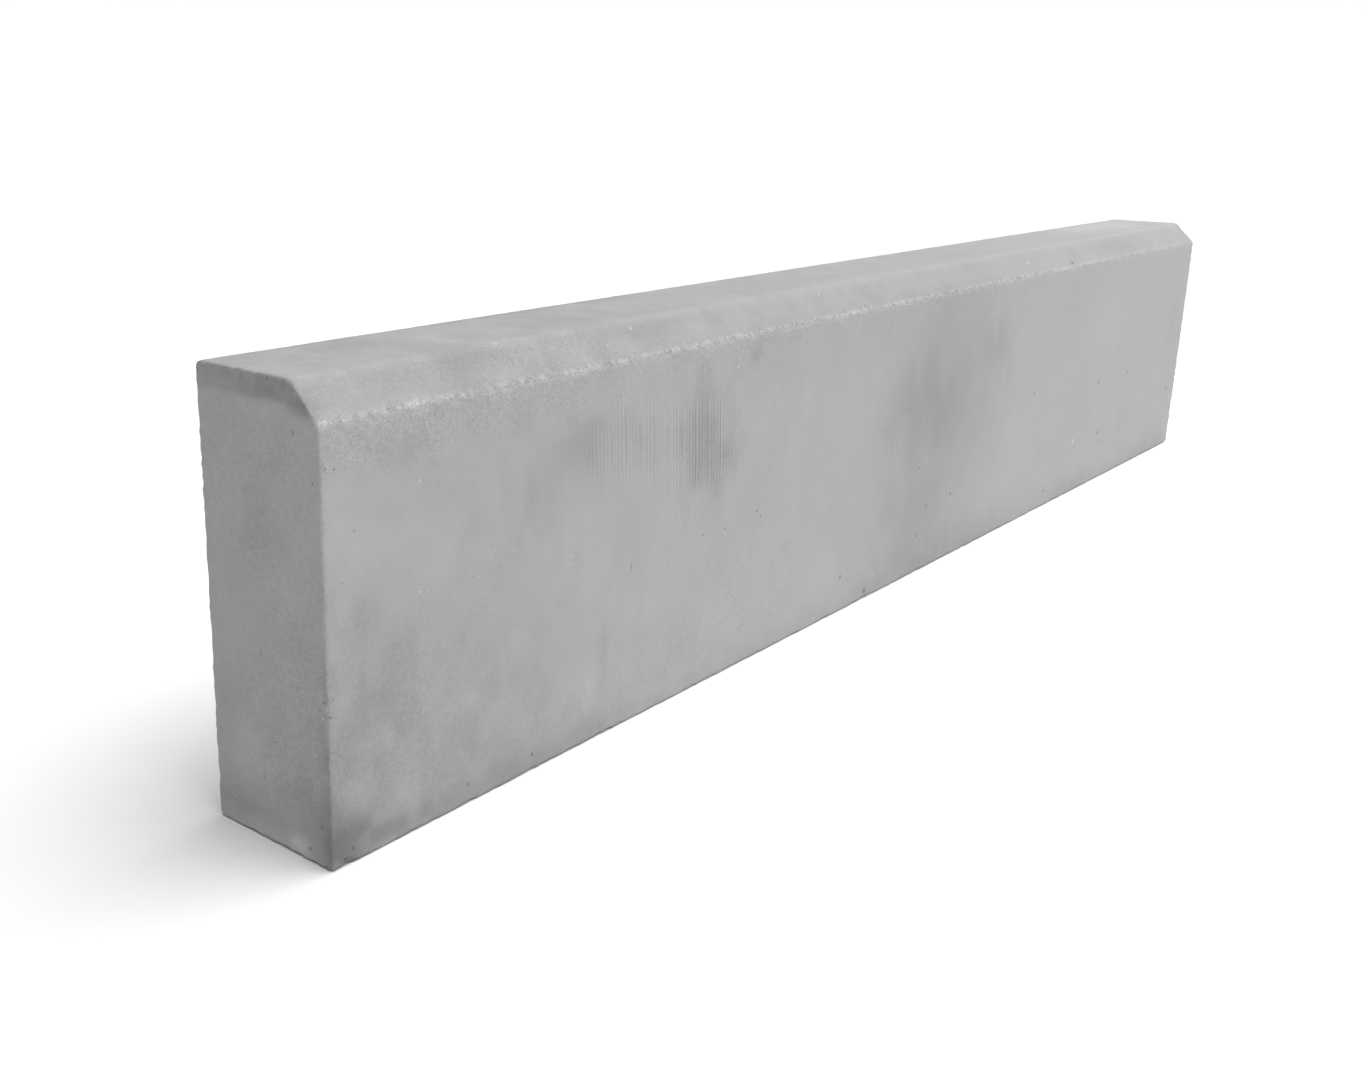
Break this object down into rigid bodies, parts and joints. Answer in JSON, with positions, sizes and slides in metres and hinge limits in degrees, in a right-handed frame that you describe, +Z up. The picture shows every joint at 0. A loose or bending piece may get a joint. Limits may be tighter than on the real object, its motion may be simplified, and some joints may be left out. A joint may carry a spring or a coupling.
{
  "type": "concrete kerb stone",
  "caption": "Straight cast concrete kerb stone, a long narrow upright block with a chamfer along the top front edge, for edging paths, beds and pavements.",
  "frame": {"origin": "under the middle of the foot, on the plane the kerb stands on", "axes": "+X along the kerb line, -Y out of the chamfered front face, +Y out of the back face, +Z up"},
  "size_m": [1, 0.072, 0.195],
  "materials": {
    "concrete": "matt grey cast concrete, fine grained, smooth from the mould, with pinholes and worn arrises"
  },
  "bodies": {
    "root": {"kerb": "concrete"}
  },
  "joints": []
}
